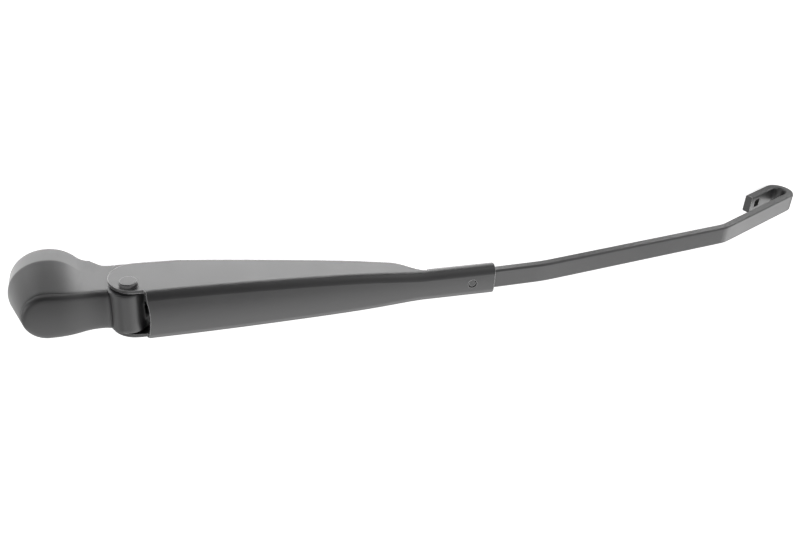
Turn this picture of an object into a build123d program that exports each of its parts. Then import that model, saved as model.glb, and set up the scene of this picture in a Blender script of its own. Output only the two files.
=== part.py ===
from build123d import *
import os
from math import atan2, cos, radians, sin, sqrt, tan

# Windscreen wiper arm with a hinged head, a pressed channel and a flat hook rod.
# X runs from the spindle to the tip, Y across the arm, Z along the spindle, away from the glass.
# The origin is on the spindle axis at the head's underside. All lengths are in millimetres.

# Head casting
BULB_RADIUS = 15.9
BULB_WALL_HEIGHT = 9.2
NECK_HALF_WIDTH = 8.7
NECK_BLEND_RADIUS = 9.0
NECK_END_X = 26.5
NECK_UNDERSIDE = 5.0
NECK_DROP = 2.3
RELIEF_LENGTH = 9.7
RELIEF_BULGE_X = 4.9
RELIEF_BULGE_Z = 2.5
RELIEF_INSET = 1.7
SHOULDER_TOP = 28.6
LOBE_HALF_WIDTH = 9.3
LOBE_DROP = 0.4
LOBE_END_X = 4.0
NECK_LOW_X = 20.5
BARREL_RISE = 1.1
BARREL_RISE_LENGTH = 7.5
CREST_CROWN = 110.0
TOP_EDGE_ROUND = 1.6
CASTING_WALL = 2.2

# Spindle seat inside the head
SPINDLE_RADIUS = 4.9
HUB_RADIUS = 8.2
HUB_HEIGHT = 12.5
POCKET_RADIUS = 8.1
UNDERSIDE_RECESS = 6.5
UNDERSIDE_RIB = 2.2
RIB_COUNT = 4

# Push-on cap over the spindle nut
CAP_THICKNESS = 2.0
CAP_GAP = 0.1
CAP_SKIRT_DEPTH = 4.0
CAP_SKIRT_WALL = 1.3
CAP_BEAD = 0.4

# Arm hinge
HINGE_X = 31.9
HINGE_Z = 25.4
BARREL_X = 31.3
BARREL_Z = 22.6
BARREL_RADIUS = 7.9
BARREL_HALF_WIDTH = 9.0
BARREL_EDGE = 0.4
PIN_RADIUS = 2.5
PIN_HEAD_RADIUS = 3.8
PIN_HEAD_HEIGHT = 2.0
PIN_HEAD_CHAMFER = 0.5
PIN_TAIL_HEIGHT = 0.7
BUSH_RADIUS = 3.4
BUSH_FLANGE_RADIUS = 4.0
BUSH_FLANGE = 0.7
BUSH_LENGTH = 8.4
RUNNING_CLEARANCE = 0.04
SEAT_CLEARANCE = 0.02
SIDE_CLEARANCE = 0.1
BOSS_RADIUS = 5.2

# Spring post and link between head and spring
POST_RADIUS_FROM_HINGE = 11.33
POST_ANGLE = -52.0
POST_RADIUS = 1.75
POST_HALF_LENGTH = 8.9
LUG_RADIUS = 4.2
SLOT_HALF_WIDTH = 4.0
SLOT_RADIUS = 6.5
SLOT_TOP = 27.5
LINK_THICKNESS = 2.4
LINK_EYE_RADIUS = 2.1
LINK_EYE_TRAVEL = 2.0
LINK_SEAT = 0.3
LINK_WALL = 1.6
LINK_SHANK_HEIGHT = 4.0
LINK_LENGTH = 18.5
LINK_HOLE_RADIUS = 1.2
LINK_END_RADIUS = 3.2
SPRING_TILT = 3.0

# Tension spring
SPRING_WIRE_RADIUS = 0.7
SPRING_RADIUS = 4.6
SPRING_START = 25.0
SPRING_RIDGES = 11
SPRING_RIDGE_PITCH = 5.6
HOOK_SEAT = 0.25

# Pressed channel
SHEET = 1.5
CHANNEL_HALF_WIDTH = 11.3
CHANNEL_CORNER = 3.6
CHANNEL_CROWN = 70.0
WEB_TOP_AT_HINGE = 34.3
WEB_FALL = 0.0361
WEB_END_X = 38.5
WEB_END_BOW = 0.8
LOFT_START_X = 42.0
TAPER_MID_X = 100.0
TAPER_MID_HALF_WIDTH = 10.2
TAPER_LOW_X = 140.0
TAPER_LOW_HALF_WIDTH = 8.1
TAPER_STEPS = 8
NOSE_START_X = 157.0
NOSE_END_X = 187.0
NOSE_HALF_WIDTH = 7.0
NOSE_CORNER = 3.4
NOSE_SLIT = 3.0
EAR_RADIUS = 10.7
EAR_X = 34.6
EAR_Z = 19.5
FLANGE_FLAT_Z = 8.8
FLANGE_KNEE_X = 52.0
FLANGE_KNEE_ROUND = 5.0
FLANGE_RUN_END_X = 141.0
FLANGE_RUN_END_Z = 19.0
NOTCH_ROUND = 2.4

# Flat rod with its hook
ROD_WIDTH = 9.0
ROD_THICKNESS = 4.0
ROD_EDGE_ROUND = 0.8
ROD_FIT = 0.05
ROD_TAIL_X = 134.5
ROD_TAIL_BEND = 4.5
ROD_TAIL_DROP = 8.2
ROD_NOTCH_HEIGHT = 2.0
ROD_NOTCH_HALF_WIDTH = 2.9
ROD_UPSET_HALF_WIDTH = 5.4
ROD_UPSET_START_X = 159.0
ROD_UPSET_LENGTH = 26.0
ROD_EXIT_X = 189.0
ROD_KNEE_X = 212.0
ROD_KNEE_FALL = 1.55
ROD_BEND_X = 315.3
ROD_BEND_FALL = 19.6
ROD_KNEE_RADIUS = 70.0
ROD_BEND_RADIUS = 18.0
HOOK_ANGLE = 26.5
HOOK_LEG = 58.6
HOOK_GAP = 7.0
TONGUE_LENGTH = 19.5
TONGUE_HOLE = 4.5
TONGUE_HOLE_FROM_END = 5.6
TONGUE_HOLE_ROUND = 0.8

# Rivet through the nose
NOSE_RIVET_X = 176.6
NOSE_RIVET_RADIUS = 1.5
NOSE_RIVET_RING = 0.45
NOSE_RIVET_SINK = 0.3

# Values that follow from the sizes above
LOBE_TOP = SHOULDER_TOP - LOBE_DROP
NECK_TOP = SHOULDER_TOP - NECK_DROP
EAR_INSIDE = CHANNEL_HALF_WIDTH - SHEET
POST_X = HINGE_X + POST_RADIUS_FROM_HINGE * cos(radians(POST_ANGLE))
POST_Z = HINGE_Z + POST_RADIUS_FROM_HINGE * sin(radians(POST_ANGLE))
SPRING_LENGTH = SPRING_RIDGES * SPRING_RIDGE_PITCH
SPRING_MEAN_RADIUS = SPRING_RADIUS - SPRING_WIRE_RADIUS
LINK_HOOK_X = LINK_LENGTH + LINK_HOLE_RADIUS - 2 * SPRING_WIRE_RADIUS + SPRING_MEAN_RADIUS + HOOK_SEAT
ROD_TAIL_FACE = (ROD_TAIL_X + ROD_THICKNESS / 2 - POST_X) / cos(radians(SPRING_TILT))
HOOK_INSIDE = SPRING_RADIUS - 2 * SPRING_WIRE_RADIUS
ROD_HOOK_X = ROD_TAIL_FACE - sqrt(HOOK_INSIDE ** 2 - ROD_NOTCH_HALF_WIDTH ** 2) + HOOK_SEAT
INNER_CROWN = CHANNEL_CROWN - SHEET
CROWN_ROOM = INNER_CROWN - sqrt(INNER_CROWN ** 2 - ROD_UPSET_HALF_WIDTH ** 2)


def web_top(x):
    """Height of the channel's outer face on its middle line."""
    return WEB_TOP_AT_HINGE - WEB_FALL * (x - LOFT_START_X)


def side_face(*edges):
    """A face drawn in the X-Z plane from edges given as (x, z)."""
    return Plane.XZ * make_face(list(edges))


def across(face, half_width):
    """A face of the X-Z plane thickened evenly to both sides."""
    return extrude(face, half_width, both=True)


def disc(x, z, radius):
    """A circle of the X-Z plane."""
    return Plane.XZ * (Pos(x, z) * Circle(radius))


def crossbar(x, z, radius, y_low, y_high):
    """A round bar across the arm."""
    return Pos(x, (y_low + y_high) / 2, z) * Rot(90, 0, 0) * Cylinder(radius, y_high - y_low)


def block(x_low, x_high, half_width, z_low, z_high):
    """A block that is even about the middle plane."""
    size = (x_high - x_low, 2 * half_width, z_high - z_low)
    return Pos((x_low + x_high) / 2, 0, (z_low + z_high) / 2) * Box(*size)


def neck_joint():
    """Where the bulb's wall leaves its circle, and where it has become the straight neck."""
    reach = NECK_HALF_WIDTH + NECK_BLEND_RADIUS
    end_x = sqrt((BULB_RADIUS + NECK_BLEND_RADIUS) ** 2 - reach ** 2)
    share = BULB_RADIUS / (BULB_RADIUS + NECK_BLEND_RADIUS)
    return end_x * share, reach * share, end_x


def closed_plan(radius, side, z):
    """A plan of the head, even about X: half a circle, the given side line and a straight neck."""
    bow = ThreePointArc((0, -radius), (-radius, 0), (0, radius))
    neck = Line(side @ 1, (NECK_END_X, NECK_HALF_WIDTH))
    end = Line((NECK_END_X, NECK_HALF_WIDTH), (NECK_END_X, -NECK_HALF_WIDTH))
    return Pos(0, 0, z) * make_face([bow, side, neck, end, neck.mirror(Plane.XZ), side.mirror(Plane.XZ)])


def bulb_plan(z):
    """Plan of the head's wall: a round bulb that runs into the neck."""
    leave_x, leave_y, end_x = neck_joint()
    along = [(1, 0), (leave_y, -leave_x), (1, 0)]
    side = Spline((0, BULB_RADIUS), (leave_x, leave_y), (end_x, NECK_HALF_WIDTH), tangents=along)
    return closed_plan(BULB_RADIUS, side, z)


def crest_plan(z):
    """Plan of the head at its crest: a half circle that narrows a little into the neck."""
    _, _, end_x = neck_joint()
    side = Spline((0, LOBE_HALF_WIDTH), (end_x, NECK_HALF_WIDTH), tangents=[(1, 0), (1, 0)])
    return closed_plan(LOBE_HALF_WIDTH, side, z)


def crest_profile(y, drop):
    """Side view of the head below its crest: level lobe, slow fall to the neck, rise into the barrel."""
    left, rise_end = -BULB_RADIUS - 2, NECK_LOW_X + BARREL_RISE_LENGTH
    rise_top = NECK_TOP + BARREL_RISE
    wave = [(LOBE_END_X, LOBE_TOP), (NECK_LOW_X, NECK_TOP), (rise_end, rise_top)]
    edges = [
        Line((left, LOBE_TOP), (LOBE_END_X, LOBE_TOP)),
        Spline(*wave, tangents=[(1, 0), (1, 0), (1, 0)]),
        Line((rise_end, rise_top), (rise_end, -1)),
        Line((rise_end, -1), (left, -1)),
        Line((left, -1), (left, LOBE_TOP)),
    ]
    return Pos(0, y, -drop) * side_face(*edges)


def below_crest(drop=0.0):
    """Everything under the crowned crest, or under a face that far below it."""
    side = BULB_RADIUS + 1
    fall = drop + side ** 2 / (2 * CREST_CROWN)
    return loft([crest_profile(-side, fall), crest_profile(0, drop), crest_profile(side, fall)])


def head_form():
    """The head's outer form: upright wall, sloping shoulder and a crest with rounded edges."""
    wall = extrude(bulb_plan(0), BULB_WALL_HEIGHT)
    shoulder = loft([bulb_plan(BULB_WALL_HEIGHT), crest_plan(SHOULDER_TOP)], ruled=True)
    form = (wall + shoulder) & below_crest()
    low = NECK_TOP - TOP_EDGE_ROUND
    rim = [edge for edge in form.edges() if edge.center().Z > low and edge.bounding_box().size.X > CAP_GAP]
    return fillet(rim, TOP_EDGE_ROUND)


def cap_skirt(clearance=0.0):
    """The cap's round skirt with its holding bead, or the room for it in the pocket."""
    outer = POCKET_RADIUS - CAP_GAP + clearance
    top, low = LOBE_TOP - CAP_THICKNESS / 2, LOBE_TOP - CAP_THICKNESS - CAP_SKIRT_DEPTH - clearance
    bead = low + 3 * CAP_BEAD
    profile = Polyline(
        (outer - CAP_SKIRT_WALL - clearance, low),
        (outer, low),
        (outer, bead - CAP_BEAD),
        (outer + CAP_BEAD, bead),
        (outer, bead + CAP_BEAD),
        (outer, top),
        (outer - CAP_SKIRT_WALL - clearance, top),
        close=True,
    )
    return revolve(Plane.XZ * make_face(profile), Axis.Z)


def nut_cap(form):
    """Moulded push-on cap: the crest of the lobe and neck as a plate, with a round skirt below."""
    barrel = across(disc(BARREL_X, BARREL_Z, BARREL_RADIUS + CAP_GAP), 2 * BARREL_HALF_WIDTH)
    return form - below_crest(CAP_THICKNESS) - barrel + cap_skirt()


def knuckle_body():
    """The forked end of the casting: hinge barrel, spring lug and foot in one rounded block."""
    foot = CASTING_WALL
    rounds = [
        Pos(BARREL_X, BARREL_Z) * Circle(BARREL_RADIUS),
        Pos(POST_X, POST_Z) * Circle(LUG_RADIUS),
        Pos(BARREL_X + foot, NECK_UNDERSIDE + foot) * Circle(foot),
        Pos(BARREL_X - BARREL_RADIUS + 2 * foot, NECK_UNDERSIDE + foot) * Circle(foot),
    ]
    outline = make_hull([edge for part in rounds for edge in part.edges()])
    body = across(Plane.XZ * outline, BARREL_HALF_WIDTH)
    rims = [edge for edge in body.edges() if abs(abs(edge.center().Y) - BARREL_HALF_WIDTH) < 0.01]
    return fillet(rims, BARREL_EDGE)


def link_slot():
    """The slot between the fork's cheeks in which the spring link swings."""
    swing = disc(POST_X, POST_Z, SLOT_RADIUS)
    low = POST_Z - SLOT_RADIUS
    out = POST_X + 2 * SLOT_RADIUS
    mouth = side_face(Polyline((POST_X, low), (out, low), (out, SLOT_TOP), (HINGE_X, SLOT_TOP), close=True))
    return across(swing + mouth, SLOT_HALF_WIDTH) - across(disc(HINGE_X, HINGE_Z, BOSS_RADIUS), SLOT_HALF_WIDTH)


def neck_relief():
    """The space under the neck, which rises from the bulb's foot."""
    start = BULB_RADIUS - RELIEF_INSET
    end, below = start + RELIEF_LENGTH, -CASTING_WALL
    bulge = (start + RELIEF_BULGE_X, RELIEF_BULGE_Z)
    far = NECK_END_X + CASTING_WALL
    rise = Spline((start, below), bulge, (end, NECK_UNDERSIDE), tangents=[(1, 1), (1, 0)])
    sill = Polyline((end, NECK_UNDERSIDE), (far, NECK_UNDERSIDE), (far, below), (start, below))
    return across(side_face(rise, *sill.edges()), BULB_RADIUS)


def underside_recess():
    """The ring-shaped hollow round the hub, stiffened by ribs."""
    ring = Circle(BULB_RADIUS - CASTING_WALL) - Circle(HUB_RADIUS)
    rib = Pos(BULB_RADIUS / 2, 0) * Rectangle(BULB_RADIUS, UNDERSIDE_RIB)
    for index in range(RIB_COUNT):
        ring -= Rot(0, 0, 360 / RIB_COUNT * (index + 0.5)) * rib
    return extrude(ring, UNDERSIDE_RECESS)


def head_casting(form):
    """Die-cast head with the spindle hub, nut pocket, cap seat and forked hinge end."""
    far = 2 * BULB_RADIUS
    body = form & below_crest(CAP_THICKNESS + CAP_GAP)
    body -= neck_relief()
    body += knuckle_body()
    body -= Pos(0, 0, HUB_HEIGHT + far / 2) * Cylinder(POCKET_RADIUS, far)
    body -= cap_skirt(CAP_GAP)
    body -= underside_recess()
    body -= Cylinder(SPINDLE_RADIUS, far)
    body -= link_slot()
    body -= crossbar(POST_X, POST_Z, POST_RADIUS + SEAT_CLEARANCE, -far, far)
    return body - crossbar(HINGE_X, HINGE_Z, BUSH_RADIUS + SEAT_CLEARANCE, -far, far)


def hinge_bush(side):
    """Flanged plain bush between the barrel and one ear."""
    face = side * BARREL_HALF_WIDTH
    inner, outer = sorted([face - side * BUSH_LENGTH, face])
    sleeve = crossbar(HINGE_X, HINGE_Z, BUSH_RADIUS, inner, outer)
    flange = crossbar(HINGE_X, HINGE_Z, BUSH_FLANGE_RADIUS, *sorted([face, face + side * BUSH_FLANGE]))
    bore = crossbar(HINGE_X, HINGE_Z, PIN_RADIUS + RUNNING_CLEARANCE, -CHANNEL_HALF_WIDTH, CHANNEL_HALF_WIDTH)
    return sleeve + flange - bore


def hinge_rivet():
    """Round hinge rivet with a chamfered head outside one ear and a low closed end outside the other."""
    tip, tail = CHANNEL_HALF_WIDTH + PIN_HEAD_HEIGHT, CHANNEL_HALF_WIDTH + PIN_TAIL_HEIGHT
    profile = Polyline(
        (0, -tail),
        (PIN_HEAD_RADIUS - PIN_TAIL_HEIGHT, -tail),
        (PIN_HEAD_RADIUS, -CHANNEL_HALF_WIDTH),
        (PIN_RADIUS, -CHANNEL_HALF_WIDTH),
        (PIN_RADIUS, CHANNEL_HALF_WIDTH),
        (PIN_HEAD_RADIUS, CHANNEL_HALF_WIDTH),
        (PIN_HEAD_RADIUS, tip - PIN_HEAD_CHAMFER),
        (PIN_HEAD_RADIUS - PIN_HEAD_CHAMFER, tip),
        (0, tip),
        close=True,
    )
    return Pos(HINGE_X, 0, HINGE_Z) * revolve(make_face(profile), Axis.Y)


def on_spring_line(shape):
    """Places a shape, drawn about the post with X along the spring, into the arm."""
    return Pos(POST_X, 0, POST_Z) * Rot(0, -SPRING_TILT, 0) * shape


def spring_link():
    """Flat link: a slotted eye round the post, a shank and a hole for the spring's hook."""
    side_gap = LINK_EYE_RADIUS - POST_RADIUS - LINK_SEAT
    high, low = -side_gap, -side_gap - LINK_EYE_TRAVEL
    outer = LINK_EYE_RADIUS + LINK_WALL
    lobes = [Pos(side_gap, z) * Circle(outer) for z in (high, low)]
    plate = make_hull([edge for lobe in lobes for edge in lobe.edges()])
    plate += Pos(LINK_LENGTH / 2, 0) * Rectangle(LINK_LENGTH, LINK_SHANK_HEIGHT)
    plate += Pos(LINK_LENGTH, 0) * Circle(LINK_END_RADIUS)
    holes = [Pos(side_gap, z) * Circle(LINK_EYE_RADIUS) for z in (high, low)]
    plate -= make_hull([edge for hole in holes for edge in hole.edges()])
    plate -= Pos(LINK_LENGTH, 0) * Circle(LINK_HOLE_RADIUS)
    return on_spring_line(across(Plane.XZ * plate, LINK_THICKNESS / 2))


def spring_hook(start, bend, towards):
    """A U-shaped wire hook that leaves the coil in two legs and turns at its far end."""
    reach = SPRING_RADIUS - SPRING_WIRE_RADIUS
    legs = [Line((start, -reach), (bend, -reach)), Line((bend, reach), (start, reach))]
    turn = ThreePointArc((bend, -reach), (bend + towards * reach, 0), (bend, reach))
    path = Wire([legs[0], turn, legs[1]])
    wire = Plane(origin=(start, -reach, 0), z_dir=(towards, 0, 0)) * Circle(SPRING_WIRE_RADIUS)
    return sweep(wire, path=path)


def tension_spring():
    """Close-wound spring drawn as a ridged tube with a hook at each end."""
    valley = SPRING_RADIUS - SPRING_WIRE_RADIUS
    bore = SPRING_RADIUS - 2 * SPRING_WIRE_RADIUS
    points = [(SPRING_START, bore), (SPRING_START, valley)]
    for ridge in range(SPRING_RIDGES):
        points.append((SPRING_START + (ridge + 0.5) * SPRING_RIDGE_PITCH, SPRING_RADIUS))
        points.append((SPRING_START + (ridge + 1) * SPRING_RIDGE_PITCH, valley))
    points.append((SPRING_START + SPRING_LENGTH, bore))
    coil = revolve(make_face(Polyline(*points, close=True)), Axis.X)
    root = SPRING_WIRE_RADIUS
    link_end = spring_hook(SPRING_START + root, LINK_HOOK_X, -1)
    rod_end = spring_hook(SPRING_START + SPRING_LENGTH - root, ROD_HOOK_X, 1)
    return on_spring_line(coil + link_end + rod_end)


def taper_line():
    """Plan of the channel's side from the hinge end to the nose."""
    return Spline(
        (LOFT_START_X, CHANNEL_HALF_WIDTH),
        (TAPER_MID_X, TAPER_MID_HALF_WIDTH),
        (TAPER_LOW_X, TAPER_LOW_HALF_WIDTH),
        (NOSE_START_X, NOSE_HALF_WIDTH),
        tangents=[(1, 0), (1, 0)],
    )


def web_section(x, half_width, inset, floor, bottom_corner=0.0):
    """Cross-section with a crowned top and round corners, down to a floor height."""
    share = min(max((x - LOFT_START_X) / (NOSE_START_X - LOFT_START_X), 0), 1)
    width = half_width - inset
    corner = CHANNEL_CORNER + (NOSE_CORNER - CHANNEL_CORNER) * share - inset
    crown = CHANNEL_CROWN - inset
    crown_z = web_top(x) - CHANNEL_CROWN
    corner_y = width - corner
    corner_z = crown_z + sqrt((crown - corner) ** 2 - corner_y ** 2)
    reach = crown / (crown - corner)
    meet = (corner_y * reach, crown_z + (corner_z - crown_z) * reach)
    half = atan2(corner_z - crown_z, corner_y) / 2
    knee = (corner_y + corner * cos(half), corner_z + corner * sin(half))
    foot_z = floor + bottom_corner
    foot_y = width - bottom_corner
    edges = [
        Line((-width, foot_z), (-width, corner_z)),
        ThreePointArc((-width, corner_z), (-knee[0], knee[1]), (-meet[0], meet[1])),
        ThreePointArc((-meet[0], meet[1]), (0, crown_z + crown), meet),
        ThreePointArc(meet, knee, (width, corner_z)),
        Line((width, corner_z), (width, foot_z)),
        Line((foot_y, floor), (-foot_y, floor)),
    ]
    if bottom_corner > 0:
        swing = bottom_corner * (1 - sqrt(0.5))
        edges.append(ThreePointArc((width, foot_z), (width - swing, floor + swing), (foot_y, floor)))
        edges.append(ThreePointArc((-foot_y, floor), (swing - width, floor + swing), (-width, foot_z)))
    return Plane.YZ.offset(x) * make_face(edges)


def channel_core(inset):
    """The channel's solid form, or the same form a sheet's thickness further in."""
    ear_x = EAR_X - EAR_RADIUS - 2
    ends = [web_section(x, CHANNEL_HALF_WIDTH, inset, 0) for x in (ear_x, LOFT_START_X)]
    line = taper_line()
    stations = [line @ (index / TAPER_STEPS) for index in range(TAPER_STEPS + 1)]
    return loft(ends, ruled=True) + loft([web_section(at.X, at.Y, inset, 0) for at in stations])


def nose_core(inset, start, end):
    """The folded nose's solid form between two stations."""
    corner = NOSE_CORNER - inset
    ends = [web_section(x, NOSE_HALF_WIDTH, inset, nose_floor(x) + inset, corner) for x in (start, end)]
    return loft(ends, ruled=True)


def nose_floor(x):
    """Height of the nose's underside."""
    return web_top(x) - 2 * SHEET - CROWN_ROOM - ROD_THICKNESS - 2 * ROD_FIT


def channel_side():
    """Side view of the channel: round ears, notch behind the hinge, rising lower edge."""
    ear_top, ear_foot = EAR_Z + EAR_RADIUS, EAR_Z - EAR_RADIUS
    sky = WEB_TOP_AT_HINGE + EAR_RADIUS
    fold_x = NOSE_START_X + SHEET
    flange_top = nose_floor(fold_x) + NOSE_CORNER
    run_end = (FLANGE_RUN_END_X, FLANGE_RUN_END_Z)
    ear = ThreePointArc((EAR_X, ear_foot), (EAR_X - EAR_RADIUS, EAR_Z), (EAR_X, ear_top))
    notch = FilletPolyline((EAR_X, ear_top), (WEB_END_X, ear_top), (WEB_END_X, sky), radius=NOTCH_ROUND)
    run = FilletPolyline((EAR_X, ear_foot), (FLANGE_KNEE_X, FLANGE_FLAT_Z), run_end, radius=FLANGE_KNEE_ROUND)
    sweep_up = Spline(run_end, (fold_x, flange_top), tangents=[run % 1, (1, -WEB_FALL)])
    rest = Polyline((WEB_END_X, sky), (NOSE_END_X, sky), (NOSE_END_X, flange_top), (fold_x, flange_top))
    return side_face(ear, *notch.edges(), *run.edges(), sweep_up, *rest.edges())


def web_end_cut():
    """The shallow bow in which the web ends above the barrel."""
    half = CHANNEL_HALF_WIDTH - CHANNEL_CORNER
    radius = (half ** 2 + WEB_END_BOW ** 2) / (2 * WEB_END_BOW)
    low, high = EAR_Z + EAR_RADIUS, WEB_TOP_AT_HINGE + CHANNEL_CORNER
    return Pos(WEB_END_X + WEB_END_BOW - radius, 0, (low + high) / 2) * Cylinder(radius, high - low)


def channel():
    """Pressed sheet channel with hinge ears and a nose folded round the rod."""
    shell = channel_core(0) - channel_core(SHEET)
    shell = shell & across(channel_side(), 2 * CHANNEL_HALF_WIDTH)
    shell += nose_core(0, NOSE_START_X, NOSE_END_X)
    shell -= nose_core(SHEET, NOSE_START_X, NOSE_END_X + SHEET)
    shell -= block(NOSE_START_X - SHEET, NOSE_END_X + SHEET, NOSE_SLIT / 2, 0, rod_middle(NOSE_END_X))
    shell -= web_end_cut()
    outside = 2 * CHANNEL_HALF_WIDTH
    shell -= crossbar(HINGE_X, HINGE_Z, PIN_RADIUS + SEAT_CLEARANCE, -outside, outside)
    rivet_hole = Cylinder(NOSE_RIVET_RADIUS + NOSE_RIVET_RING, 3 * SHEET)
    return shell - Pos(NOSE_RIVET_X, 0, web_top(NOSE_RIVET_X)) * rivet_hole


def rod_middle(x):
    """Height of the rod's middle line where it lies under the web."""
    return web_top(x) - SHEET - CROWN_ROOM - ROD_FIT - ROD_THICKNESS / 2


def hook_frame():
    """Start of the hook's bend, and the directions along the leg and towards the glass."""
    along = Vector(cos(radians(HOOK_ANGLE)), -sin(radians(HOOK_ANGLE)))
    down = Vector(-sin(radians(HOOK_ANGLE)), -cos(radians(HOOK_ANGLE)))
    bend = Vector(ROD_BEND_X, rod_middle(ROD_EXIT_X) - ROD_KNEE_FALL - ROD_BEND_FALL)
    return bend, bend + along * HOOK_LEG, along, down


def rod():
    """Flat steel strip: hooked tail for the spring, two flat bends and a U-shaped end."""
    bend, loop, along, down = hook_frame()
    radius = (HOOK_GAP + ROD_THICKNESS) / 2
    tail_z = rod_middle(ROD_TAIL_X)
    knee = (ROD_KNEE_X, rod_middle(ROD_EXIT_X) - ROD_KNEE_FALL)
    tail = FilletPolyline(
        (ROD_TAIL_X, tail_z - ROD_TAIL_DROP),
        (ROD_TAIL_X, tail_z),
        (ROD_UPSET_START_X, rod_middle(ROD_UPSET_START_X)),
        radius=ROD_TAIL_BEND,
    )
    exit_point = (ROD_EXIT_X, rod_middle(ROD_EXIT_X))
    clamped = Line((ROD_UPSET_START_X, rod_middle(ROD_UPSET_START_X)), exit_point)
    knee_mid = (Vector(*knee) + bend) / 2
    shaft = FilletPolyline(exit_point, knee, (knee_mid.X, knee_mid.Y), radius=ROD_KNEE_RADIUS)
    leg = FilletPolyline((knee_mid.X, knee_mid.Y), (bend.X, bend.Y), (loop.X, loop.Y), radius=ROD_BEND_RADIUS)
    centre = loop + down * radius
    tip = centre + along * radius
    back = centre + down * radius
    end = back - along * TONGUE_LENGTH
    turn = ThreePointArc((loop.X, loop.Y), (tip.X, tip.Y), (back.X, back.Y))
    tongue = Line((back.X, back.Y), (end.X, end.Y))
    path = Plane.XZ * Wire([*tail.edges(), clamped, *shaft.edges(), *leg.edges(), turn, tongue])
    start = Plane(origin=path @ 0, x_dir=(0, 1, 0), z_dir=path % 0)
    strip = sweep(start * RectangleRounded(ROD_WIDTH, ROD_THICKNESS, ROD_EDGE_ROUND), path=path)
    strip += rod_upset()
    rivet_hole = Cylinder(NOSE_RIVET_RADIUS + SEAT_CLEARANCE, 3 * ROD_THICKNESS)
    strip -= Pos(NOSE_RIVET_X, 0, rod_middle(NOSE_RIVET_X)) * rivet_hole
    hole = end + along * TONGUE_HOLE_FROM_END
    cutter = Plane(origin=(hole.X, 0, hole.Y), x_dir=(0, 1, 0), z_dir=(down.X, 0, down.Y))
    square = cutter * RectangleRounded(TONGUE_HOLE, TONGUE_HOLE, TONGUE_HOLE_ROUND)
    strip -= extrude(square, ROD_THICKNESS, both=True)
    notch_z = POST_Z + (ROD_TAIL_X - POST_X) * tan(radians(SPRING_TILT))
    notch = Pos(ROD_TAIL_X, 0, notch_z) * Box(2 * ROD_THICKNESS, ROD_WIDTH, ROD_NOTCH_HEIGHT)
    keep = Pos(ROD_TAIL_X, 0, notch_z) * Box(3 * ROD_THICKNESS, 2 * ROD_NOTCH_HALF_WIDTH, ROD_NOTCH_HEIGHT)
    return strip - (notch - keep)


def rod_upset():
    """The length of the rod that is pressed wider to fill the nose."""
    start = (ROD_UPSET_START_X, 0, rod_middle(ROD_UPSET_START_X))
    plane = Plane(origin=start, x_dir=(0, 1, 0), z_dir=(1, 0, -WEB_FALL))
    section = RectangleRounded(2 * ROD_UPSET_HALF_WIDTH, ROD_THICKNESS, NOSE_CORNER - SHEET)
    return extrude(plane * section, ROD_UPSET_LENGTH)


def nose_rivet():
    """Flush rivet through the web and the rod."""
    top = web_top(NOSE_RIVET_X) - NOSE_RIVET_SINK
    low = rod_middle(NOSE_RIVET_X) - ROD_THICKNESS / 2 + NOSE_RIVET_SINK
    return Pos(NOSE_RIVET_X, 0, (top + low) / 2) * Cylinder(NOSE_RIVET_RADIUS, top - low)


def main():
    """Builds every piece and writes it to its own file."""
    form = head_form()
    pieces = {
        "head_casting": head_casting(form),
        "nut_cap": nut_cap(form),
        "hinge_bush_left": hinge_bush(1),
        "hinge_bush_right": hinge_bush(-1),
        "hinge_rivet": hinge_rivet(),
        "spring_post": crossbar(POST_X, POST_Z, POST_RADIUS, -POST_HALF_LENGTH, POST_HALF_LENGTH),
        "spring_link": spring_link(),
        "tension_spring": tension_spring(),
        "channel": channel(),
        "rod": rod(),
        "nose_rivet": nose_rivet(),
    }
    os.makedirs("parts", exist_ok=True)
    for node, piece in pieces.items():
        export_step(piece, f"parts/{node}.step")


if __name__ == "__main__":
    main()
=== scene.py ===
"""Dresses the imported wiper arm: satin paints, moulded plastics, a wound spring, studio and camera."""
import logging
import math
from dataclasses import dataclass
from enum import Enum

import bpy
from mathutils import Matrix, Vector


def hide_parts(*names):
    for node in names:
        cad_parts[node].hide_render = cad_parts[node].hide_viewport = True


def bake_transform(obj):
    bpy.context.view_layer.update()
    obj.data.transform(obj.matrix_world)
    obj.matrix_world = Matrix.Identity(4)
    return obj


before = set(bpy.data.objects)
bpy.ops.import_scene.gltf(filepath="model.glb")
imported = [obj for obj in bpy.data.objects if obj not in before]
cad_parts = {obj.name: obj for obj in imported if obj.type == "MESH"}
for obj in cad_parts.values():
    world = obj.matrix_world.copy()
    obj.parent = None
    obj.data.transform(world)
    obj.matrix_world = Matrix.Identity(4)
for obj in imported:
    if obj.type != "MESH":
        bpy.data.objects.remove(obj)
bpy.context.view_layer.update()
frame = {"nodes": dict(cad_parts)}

log = logging.getLogger("wiper_arm")
MM = 0.001

# The part of a noise's range over which colour and gloss spread.
CLOUD_SPAN = (0.3, 0.7)
# How far the face's normal and the softened one agree, from no painted edge highlight to a full one.
PAINTED_HIGHLIGHT_SPAN = (0.99, 0.86)
EDGE_SAMPLES = 8
# Drawing lines run along X, so the pattern is stretched that way.
DRAWN_STRETCH = (0.08, 1.0, 1.0)


class Slot(str, Enum):
    """Material slots of the record that pieces made here take."""

    SPRING_STEEL = "spring_steel"


class Grain(Enum):
    """How a surface's fine relief is laid out."""

    ORANGE_PEEL = "orange peel of sprayed and baked powder"
    CAST_SKIN = "paint over the skin of a die casting"
    MOULDED = "fine spark-eroded mould texture"
    DRAWN = "lengthwise drawing lines of wire"


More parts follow.
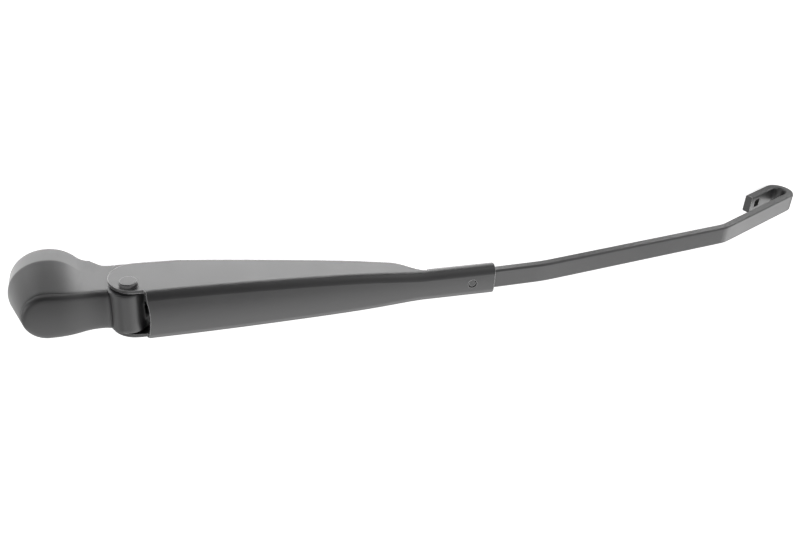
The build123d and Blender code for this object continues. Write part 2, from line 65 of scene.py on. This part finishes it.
def linear(colour: str) -> tuple[float, float, float, float]:
    """Turns an sRGB hex colour into linear light.

    Args:
        colour: The colour as "#rrggbb".

    Returns:
        Red, green, blue and alpha for a shader socket.
    """
    channels = [int(colour[at:at + 2], 16) / 255 for at in (1, 3, 5)]
    light = [c / 12.92 if c <= 0.04045 else ((c + 0.055) / 1.055) ** 2.4 for c in channels]
    return light[0], light[1], light[2], 1.0


def per_metre(millimetres: float) -> float:
    """Gives the texture scale whose features have the given size in millimetres."""
    return 1.0 / (millimetres * MM)


def over(span: tuple[float, float], *values: float) -> dict[str, float]:
    """Gives the fixed inputs that map a span to values.

    Args:
        span: The two ends of the span.
        *values: The value at the first end, then at the second. One that a link feeds is left out.

    Returns:
        Input names with their values.
    """
    return {"From Min": span[0], "From Max": span[1], **dict(zip(("To Min", "To Max"), values))}


def add_node(tree: bpy.types.NodeTree, kind: str, links: dict | None = None, inputs: dict | None = None,
             **settings: object) -> bpy.types.Node:
    """Adds one shader node with its settings, fixed inputs and incoming links.

    Args:
        tree: The node tree to add to.
        kind: Blender's name of the node type.
        links: Input name or index to the output socket that feeds it.
        inputs: Input name or index to its fixed value.
        **settings: Attributes of the node itself.

    Returns:
        The new node.
    """
    node = tree.nodes.new(kind)
    for name, value in settings.items():
        setattr(node, name, value)
    for name, value in (inputs or {}).items():
        node.inputs[name].default_value = value
    for name, socket in (links or {}).items():
        tree.links.new(socket, node.inputs[name])
    return node


@dataclass(frozen=True)
class Finish:
    """A surface finish: colour spread, gloss, fine relief, softened edges and, if given, a painted edge
    highlight, with sizes in millimetres.
    """

    name: str
    dark: str
    light: str
    roughness: tuple[float, float]
    grain: Grain
    grain_mm: float
    relief_mm: float
    cloud_mm: float = 14.0
    metallic: float = 0.0
    ior: float = 1.5
    specular: float = 0.5
    coat: float = 0.0
    coat_roughness: float = 0.3
    edge_mm: float = 0.35
    least_rise: float | None = None
    painted_edge_highlight: str | None = None

    def material(self) -> bpy.types.Material:
        """Builds the finish as a procedural material.

        Returns:
            The material, with its patterns in the piece's own coordinates.
        """
        surface = bpy.data.materials.new(self.name)
        surface.use_nodes = True
        tree = surface.node_tree
        tree.nodes.clear()
        place = add_node(tree, "ShaderNodeTexCoord").outputs["Object"]
        noise = add_node(tree, "ShaderNodeTexNoise", {"Vector": place},
                         {"Scale": per_metre(self.cloud_mm), "Detail": 3.0, "Roughness": 0.55})
        cloud = noise.outputs["Fac"]
        gloss = add_node(tree, "ShaderNodeMapRange", {"Value": cloud}, over(CLOUD_SPAN, *self.roughness))
        edge = self._edge(tree)
        bump = add_node(tree, "ShaderNodeBump", {"Height": self._relief(tree, place), "Normal": edge},
                        {"Strength": 1.0, "Distance": self.relief_mm * MM})
        shader = add_node(tree, "ShaderNodeBsdfPrincipled",
                          {"Base Color": self._colour(tree, cloud, edge),
                           "Roughness": gloss.outputs["Result"], "Normal": bump.outputs["Normal"]},
                          {"Metallic": self.metallic, "IOR": self.ior, "Specular IOR Level": self.specular,
                           "Coat Weight": self.coat, "Coat Roughness": self.coat_roughness})
        add_node(tree, "ShaderNodeOutputMaterial", {"Surface": shader.outputs["BSDF"]})
        return surface

    def _edge(self, tree: bpy.types.NodeTree) -> bpy.types.NodeSocket:
        """Softens the edges in shading. With a least rise, a thin rim reads as rounded down to its seam.

        Args:
            tree: The material's node tree.

        Returns:
            The normal socket.
        """
        bevel = add_node(tree, "ShaderNodeBevel", inputs={"Radius": self.edge_mm * MM}, samples=EDGE_SAMPLES)
        if self.least_rise is None:
            return bevel.outputs["Normal"]
        bent = add_node(tree, "ShaderNodeSeparateXYZ", {"Vector": bevel.outputs["Normal"]}).outputs
        rise = add_node(tree, "ShaderNodeMath", {0: bent["Z"]}, {1: self.least_rise}, operation="MAXIMUM")
        mixed = add_node(tree, "ShaderNodeCombineXYZ", {"X": bent["X"], "Y": bent["Y"], "Z": rise.outputs[0]})
        unit = add_node(tree, "ShaderNodeVectorMath", {0: mixed.outputs["Vector"]}, operation="NORMALIZE")
        return unit.outputs["Vector"]

    def _colour(self, tree: bpy.types.NodeTree, cloud: bpy.types.NodeSocket,
                edge: bpy.types.NodeSocket) -> bpy.types.NodeSocket:
        """Spreads the colour between its dark and light end, with a painted highlight line at cut edges if it
        has one.

        Args:
            tree: The material's node tree.
            cloud: The slow noise that the colour follows.
            edge: The normal with softened edges.

        Returns:
            The colour socket.
        """
        tint = add_node(tree, "ShaderNodeValToRGB", {"Fac": cloud})
        for stop, at, colour in zip(tint.color_ramp.elements, CLOUD_SPAN, (self.dark, self.light)):
            stop.position = at
            stop.color = linear(colour)
        if self.painted_edge_highlight is None:
            return tint.outputs["Color"]
        # Painted highlight: a pale colour is mixed in along cut edges, where the softened normal parts from
        # the face's own.
        face = add_node(tree, "ShaderNodeNewGeometry").outputs["Normal"]
        agree = add_node(tree, "ShaderNodeVectorMath", {0: face, 1: edge}, operation="DOT_PRODUCT")
        painted_highlight_share = add_node(tree, "ShaderNodeMapRange", {"Value": agree.outputs["Value"]},
                        over(PAINTED_HIGHLIGHT_SPAN, 0.0, 1.0))
        # Sockets 6 and 7 are the colours to mix, and output 2 is the mixed colour.
        mixed = add_node(tree, "ShaderNodeMix", {0: painted_highlight_share.outputs["Result"], 6: tint.outputs["Color"]},
                         {7: linear(self.painted_edge_highlight)}, data_type="RGBA")
        return mixed.outputs[2]

    def _relief(self, tree: bpy.types.NodeTree, place: bpy.types.NodeSocket) -> bpy.types.NodeSocket:
        """Lays out the fine relief.

        Args:
            tree: The material's node tree.
            place: Coordinates in metres.

        Returns:
            The height socket.
        """
        scale = per_metre(self.grain_mm)
        if self.grain is Grain.DRAWN:
            stretched = add_node(tree, "ShaderNodeMapping", {"Vector": place}, {"Scale": DRAWN_STRETCH})
            lines = add_node(tree, "ShaderNodeTexNoise", {"Vector": stretched.outputs["Vector"]},
                             {"Scale": scale, "Detail": 2.0})
            return lines.outputs["Fac"]
        if self.grain is Grain.CAST_SKIN:
            skin = add_node(tree, "ShaderNodeTexNoise", {"Vector": place},
                            {"Scale": scale, "Detail": 4.0, "Roughness": 0.6})
            return skin.outputs["Fac"]
        if self.grain is Grain.MOULDED:
            pits = add_node(tree, "ShaderNodeTexVoronoi", {"Vector": place}, {"Scale": scale},
                            feature="SMOOTH_F1")
            return pits.outputs["Distance"]
        peel = add_node(tree, "ShaderNodeTexNoise", {"Vector": place}, {"Scale": scale, "Detail": 1.0})
        return peel.outputs["Fac"]


# Polyester powder baked on steel: a deep black with a soft sheen and a faint orange peel.
# Along cut edges a pale highlight line is painted into the colour.
# The peel is drawn a little coarser than its real half millimetre, so that it shows.
POWDER_COAT = Finish(
    name="satin_black_powder_coat_on_pressed_steel", dark="#29292a", light="#2f2f30", roughness=(0.36, 0.42),
    grain=Grain.ORANGE_PEEL, grain_mm=1.1, relief_mm=0.012, specular=1.0, coat=1.0, coat_roughness=0.32,
    edge_mm=0.5, painted_edge_highlight="#e4e4e4")

# The same powder on a zinc die casting: the skin below shows through as a slow unevenness.
# Cast edges are round and thickly covered, so they turn softly and get no painted highlight line.
CAST_POWDER_COAT = Finish(
    name="satin_black_powder_coat_on_zinc_die_casting", dark="#29292a", light="#303031",
    roughness=(0.38, 0.46), grain=Grain.CAST_SKIN, grain_mm=2.4, relief_mm=0.02, specular=1.0, coat=1.0,
    coat_roughness=0.34, edge_mm=2.2)

# Glass-filled nylon from a spark-eroded mould: as dark as the paint, with an even fine grain.
# The cap's rim is thin and well rounded, so its shading turns upwards as far as the seam.
MOULDED_NYLON = Finish(
    name="moulded_black_glass_filled_nylon", dark="#272728", light="#2d2d2e", roughness=(0.40, 0.46),
    grain=Grain.MOULDED, grain_mm=0.7, relief_mm=0.006, specular=1.0, coat=0.9, coat_roughness=0.36,
    edge_mm=3.0, least_rise=0.42)

# Acetal bush, smooth and slightly waxy.
MOULDED_ACETAL = Finish(
    name="moulded_dark_acetal", dark="#37373a", light="#3d3d40", roughness=(0.30, 0.36),
    grain=Grain.MOULDED, grain_mm=0.9, relief_mm=0.003, ior=1.48)

# Zinc-plated spring wire and stamped steel: pale grey metal with fine lengthwise lines.
ZINC_PLATED_STEEL = Finish(
    name="zinc_plated_drawn_steel", dark="#a3a5a6", light="#b9bbbb", roughness=(0.30, 0.40),
    grain=Grain.DRAWN, grain_mm=0.35, relief_mm=0.006, metallic=1.0, cloud_mm=6.0)


def dress(node: bpy.types.Object, surface: bpy.types.Material) -> None:
    """Gives one piece its only material and reports it.

    Args:
        node: The piece.
        surface: Its material.
    """
    node.data.materials.clear()
    node.data.materials.append(surface)
    log.info("%s: %s", node.name, surface.name)


@dataclass
class Head:
    """The spindle head: casting, push-on cap, bushes and spring post."""

    paint: bpy.types.Material
    plastic: bpy.types.Material
    bush: bpy.types.Material
    steel: bpy.types.Material

    def dress(self, nodes: dict[str, bpy.types.Object]) -> None:
        """Paints the head's pieces.

        Args:
            nodes: The frame's pieces by name.
        """
        dress(nodes["head_casting"], self.paint)
        dress(nodes["nut_cap"], self.plastic)
        dress(nodes["hinge_bush_left"], self.bush)
        dress(nodes["hinge_bush_right"], self.bush)
        dress(nodes["spring_post"], self.steel)


@dataclass
class Arm:
    """The painted arm: channel, rod and both rivets."""

    paint: bpy.types.Material

    def dress(self, nodes: dict[str, bpy.types.Object]) -> None:
        """Paints the arm's pieces.

        Args:
            nodes: The frame's pieces by name.
        """
        for name in ("channel", "rod", "hinge_rivet", "nose_rivet"):
            dress(nodes[name], self.paint)


@dataclass
class SpringSet:
    """The link and the close-wound spring, with sizes in millimetres along the spring's line from the post."""

    steel: bpy.types.Material
    post: tuple[float, float, float] = (38.875, 0.0, 16.472)
    tilt_deg: float = 3.0
    wire_radius: float = 0.7
    coil_radius: float = 3.9
    coil_start: float = 25.0
    coil_length: float = 61.6
    turns: int = 42
    link_bend: float = 22.45
    link_tail: float = 1.2
    rod_bend: float = 96.5
    rod_tail: float = 2.0
    steps_per_turn: int = 22
    steps_per_hook: int = 14
    wire_sides: int = 10

    def path(self) -> list[Vector]:
        """Runs along the wire: link hook, coil, rod hook.

        Returns:
            Points about the post, X along the spring.
        """
        radius, start, end = self.coil_radius, self.coil_start, self.coil_start + self.coil_length
        points = [Vector((self.link_bend + self.link_tail, radius, 0))]
        points += self._hook(self.link_bend, math.pi / 2)
        count = self.turns * self.steps_per_turn
        for step in range(count + 1):
            turn = -math.pi / 2 + 2 * math.pi * step / self.steps_per_turn
            along = start + self.wire_radius + (end - start - 2 * self.wire_radius) * step / count
            points.append(Vector((along, radius * math.sin(turn), radius * math.cos(turn))))
        points += self._hook(self.rod_bend, -math.pi / 2)
        points.append(Vector((self.rod_bend - self.rod_tail, radius, 0)))
        return points

    def _hook(self, bend: float, first_turn: float) -> list[Vector]:
        """Runs round one end hook, a half circle in the flat of the link.

        Args:
            bend: Where the hook's centre lies along the spring.
            first_turn: The angle at which it starts, in radians.

        Returns:
            Points about the post.
        """
        turns = [first_turn + math.pi * step / self.steps_per_hook for step in range(self.steps_per_hook + 1)]
        radius = self.coil_radius
        return [Vector((bend + radius * math.cos(turn), radius * math.sin(turn), 0)) for turn in turns]

    def _tube(self, points: list[Vector]) -> bpy.types.Mesh:
        """Sweeps the round wire along a path and closes both ends.

        Args:
            points: The wire's centre line.

        Returns:
            The mesh, smooth shaded.
        """
        verts: list[Vector] = []
        faces: list[tuple[int, ...]] = []
        side = Vector((0, 0, 1))
        sides = self.wire_sides
        for index, point in enumerate(points):
            ahead = points[min(index + 1, len(points) - 1)] - points[max(index - 1, 0)]
            forward = ahead.normalized()
            side = (side - forward * side.dot(forward)).normalized()
            other = forward.cross(side)
            for corner in range(sides):
                turn = 2 * math.pi * corner / sides
                verts.append(point + (side * math.cos(turn) + other * math.sin(turn)) * self.wire_radius)
            if index:
                low, high = (index - 1) * sides, index * sides
                for corner in range(sides):
                    following = (corner + 1) % sides
                    faces.append((low + corner, low + following, high + following, high + corner))
        faces.append(tuple(reversed(range(sides))))
        faces.append(tuple(range(len(verts) - sides, len(verts))))
        mesh = bpy.data.meshes.new("wound_spring")
        mesh.from_pydata(verts, [], faces)
        mesh.shade_smooth()
        return mesh

    def build(self) -> bpy.types.Object:
        """Winds the wire and sets it in the arm in place of the hidden CAD spring.

        Returns:
            The spring.
        """
        mesh = self._tube(self.path())
        spring = bpy.data.objects.new("wound_spring", mesh)
        bpy.context.scene.collection.objects.link(spring)
        placing = self.placing()
        mesh.transform(placing)
        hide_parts("tension_spring")
        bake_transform(spring)
        return spring

    def placing(self) -> Matrix:
        """Gives the transform from the spring's own line into the arm, in metres."""
        turn = Matrix.Rotation(math.radians(-self.tilt_deg), 4, "Y")
        return Matrix.Translation(Vector(self.post) * MM) @ turn @ Matrix.Scale(MM, 4)

    def dress(self, nodes: dict[str, bpy.types.Object]) -> None:
        """Plates the link and the spring.

        Args:
            nodes: The frame's pieces by name.
        """
        dress(nodes["spring_link"], self.steel)
        dress(nodes["tension_spring"], self.steel)
        dress(self.build(), self.steel)


@dataclass(frozen=True)
class SoftBox:
    """A rectangular studio light, placed in metres, with its brightness as seen in a mirror."""

    name: str
    place: tuple[float, float, float]
    aim: tuple[float, float, float]
    size: tuple[float, float]
    brightness: float
    spread_deg: float = 180.0

    def hang(self) -> None:
        """Adds the light to the scene."""
        lamp = bpy.data.lights.new(self.name, "AREA")
        lamp.shape = "RECTANGLE"
        lamp.size, lamp.size_y = self.size
        lamp.energy = self.brightness * math.pi * self.size[0] * self.size[1]
        lamp.spread = math.radians(self.spread_deg)
        holder = bpy.data.objects.new(self.name, lamp)
        holder.location = self.place
        ahead = Vector(self.aim) - Vector(self.place)
        holder.rotation_mode = "QUATERNION"
        holder.rotation_quaternion = ahead.to_track_quat("-Z", "Y")
        bpy.context.scene.collection.objects.link(holder)


@dataclass
class Studio:
    """White floor, soft boxes, dim room and the camera, with places in metres.

    The floor is bright to gloss in an oval below the arm and fades away from it. The room has a pale far
    wall at -Y. Its wall behind the camera, at +Y, and its ceiling are dark and grow brighter towards the tip.
    The room's spans are shares of a direction along X, Y or Z.
    """

    floor_z: float = -0.0355
    floor_half: float = 6.0
    floor_colour: str = "#d8d8d8"
    floor_glow: float = 0.84
    far_floor: float = 0.10
    oval_shift: tuple[float, float, float] = (-0.0335, 0.0, 0.0)
    oval_scale: tuple[float, float, float] = (0.36, 1.0, 0.0)
    oval_fade: tuple[float, float] = (0.05, 0.074)
    far_wall: float = 0.72
    camera_wall: tuple[float, float] = (0.13, 0.85)
    camera_wall_span: tuple[float, float] = (0.1, 0.4)
    wall_to_wall_span: tuple[float, float] = (0.1, 0.6)
    ceiling: tuple[float, float] = (0.056, 0.416)
    ceiling_span: tuple[float, float] = (0.0, 0.4)
    wall_to_ceiling_span: tuple[float, float] = (0.12, 0.75)
    lens_mm: float = 44.545
    sensor_mm: float = 36.0
    clip: tuple[float, float] = (0.01, 50.0)
    eye: tuple[float, float, float] = (0.040262, 0.228175, 0.372693)
    right: tuple[float, float, float] = (0.966200, 0.061572, 0.250332)
    up: tuple[float, float, float] = (0.078786, 0.854071, -0.514156)
    boxes: tuple[SoftBox, ...] = (
        SoftBox("side_box", (0.25, -0.9, 0.62), (0.18, 0.0, 0.02), (1.9, 1.2), 0.9),
        SoftBox("floor_strip", (0.06, 0.066, 0.085), (0.06, 0.066, -0.035), (0.30, 0.05), 2.8, 60.0),
        SoftBox("tip_strip", (0.355, 0.06, 0.06), (0.355, 0.06, -0.035), (0.14, 0.06), 1.6, 60.0),
        SoftBox("tip_end_box", (1.35, -0.35, 0.14), (0.35, 0.0, -0.01), (1.0, 0.42), 1.55),
        SoftBox("head_end_box", (-0.85, 0.0, 0.5), (0.02, 0.0, 0.02), (0.6, 0.75), 0.9),
    )

    def build(self) -> None:
        """Sets up floor, lights, room and camera."""
        self._floor()
        for box in self.boxes:
            box.hang()
        self._room()
        self._camera()

    def _straight(self, tree: bpy.types.NodeTree) -> bpy.types.NodeSocket:
        """Gives 1 for rays that look straight at the background, from the camera or through a glass.

        Args:
            tree: The node tree to add to.

        Returns:
            The socket with that value.
        """
        path = add_node(tree, "ShaderNodeLightPath").outputs
        either = add_node(tree, "ShaderNodeMath",
                          {0: path["Is Camera Ray"], 1: path["Is Transmission Ray"]}, operation="MAXIMUM")
        return either.outputs[0]

    def _floor(self) -> None:
        """Lays the white floor: it glows to the eye and still takes the arm's soft shadow."""
        half, z = self.floor_half, self.floor_z
        corners = [(-half, -half, z), (half, -half, z), (half, half, z), (-half, half, z)]
        mesh = bpy.data.meshes.new("floor")
        mesh.from_pydata(corners, [], [(0, 1, 2, 3)])
        floor = bpy.data.objects.new("floor", mesh)
        bpy.context.scene.collection.objects.link(floor)
        paper = bpy.data.materials.new("matt_white_paper_sweep")
        paper.use_nodes = True
        tree = paper.node_tree
        tree.nodes.clear()
        matt = add_node(tree, "ShaderNodeBsdfDiffuse", inputs={"Color": linear(self.floor_colour)})
        place = add_node(tree, "ShaderNodeNewGeometry").outputs["Position"]
        oval = add_node(tree, "ShaderNodeMapping", {"Vector": place},
                        {"Location": self.oval_shift, "Scale": self.oval_scale})
        away = add_node(tree, "ShaderNodeVectorMath", {0: oval.outputs["Vector"]}, operation="LENGTH")
        fade = add_node(tree, "ShaderNodeMapRange", {"Value": away.outputs["Value"]},
                        over(self.oval_fade, 1.0, self.far_floor))
        gloss = add_node(tree, "ShaderNodeLightPath").outputs["Is Glossy Ray"]
        sheen = add_node(tree, "ShaderNodeMath", {0: gloss, 1: fade.outputs["Result"]}, operation="MULTIPLY")
        seen = add_node(tree, "ShaderNodeMath", {0: self._straight(tree), 1: sheen.outputs[0]},
                        operation="MAXIMUM")
        share = add_node(tree, "ShaderNodeMath", {0: seen.outputs[0]}, {1: self.floor_glow},
                         operation="MULTIPLY")
        glow = add_node(tree, "ShaderNodeEmission", {"Strength": share.outputs[0]})
        both = add_node(tree, "ShaderNodeAddShader", {0: matt.outputs[0], 1: glow.outputs[0]})
        add_node(tree, "ShaderNodeOutputMaterial", {"Surface": both.outputs[0]})
        mesh.materials.append(paper)

    def _room(self) -> None:
        """Paints the room round the floor: white to the eye, dark above and behind the camera to gloss."""
        world = bpy.data.worlds.new("room")
        world.use_nodes = True
        tree = world.node_tree
        tree.nodes.clear()
        place = add_node(tree, "ShaderNodeTexCoord").outputs["Generated"]
        towards = add_node(tree, "ShaderNodeSeparateXYZ", {"Vector": place}).outputs
        behind = add_node(tree, "ShaderNodeMapRange", {"Value": towards["X"]},
                          over(self.camera_wall_span, *self.camera_wall))
        wall = add_node(tree, "ShaderNodeMapRange",
                        {"Value": towards["Y"], "To Max": behind.outputs["Result"]},
                        over(self.wall_to_wall_span, self.far_wall))
        ceiling = add_node(tree, "ShaderNodeMapRange", {"Value": towards["X"]},
                           over(self.ceiling_span, *self.ceiling))
        room = add_node(tree, "ShaderNodeMapRange",
                        {"Value": towards["Z"], "To Min": wall.outputs["Result"],
                         "To Max": ceiling.outputs["Result"]},
                        over(self.wall_to_ceiling_span))
        level = add_node(tree, "ShaderNodeMath", {0: room.outputs["Result"], 1: self._straight(tree)},
                         operation="MAXIMUM")
        light = add_node(tree, "ShaderNodeBackground", {"Strength": level.outputs[0]},
                         {"Color": linear("#ffffff")})
        add_node(tree, "ShaderNodeOutputWorld", {"Surface": light.outputs[0]})
        bpy.context.scene.world = world

    def _camera(self) -> None:
        """Places the camera at the photograph's viewing angle."""
        lens = bpy.data.cameras.new("camera")
        lens.sensor_fit = "HORIZONTAL"
        lens.sensor_width = self.sensor_mm
        lens.lens = self.lens_mm
        lens.clip_start, lens.clip_end = self.clip
        camera = bpy.data.objects.new("camera", lens)
        right, up = Vector(self.right).normalized(), Vector(self.up).normalized()
        back = right.cross(up)
        turn = Matrix((right, up, back)).transposed().to_4x4()
        camera.matrix_world = Matrix.Translation(self.eye) @ turn
        bpy.context.scene.collection.objects.link(camera)
        bpy.context.scene.camera = camera


def main() -> None:
    """Builds the finishes, dresses each sub-assembly and sets up the studio."""
    logging.basicConfig(level=logging.INFO, format="%(name)s %(message)s")
    bpy.context.scene.view_settings.view_transform = "Standard"
    nodes = frame["nodes"]
    steel = ZINC_PLATED_STEEL.material()
    paint, plastic = CAST_POWDER_COAT.material(), MOULDED_NYLON.material()
    Head(paint, plastic, MOULDED_ACETAL.material(), steel).dress(nodes)
    Arm(POWDER_COAT.material()).dress(nodes)
    SpringSet(steel).dress(nodes)
    Studio().build()


if __name__ == "__main__":
    main()
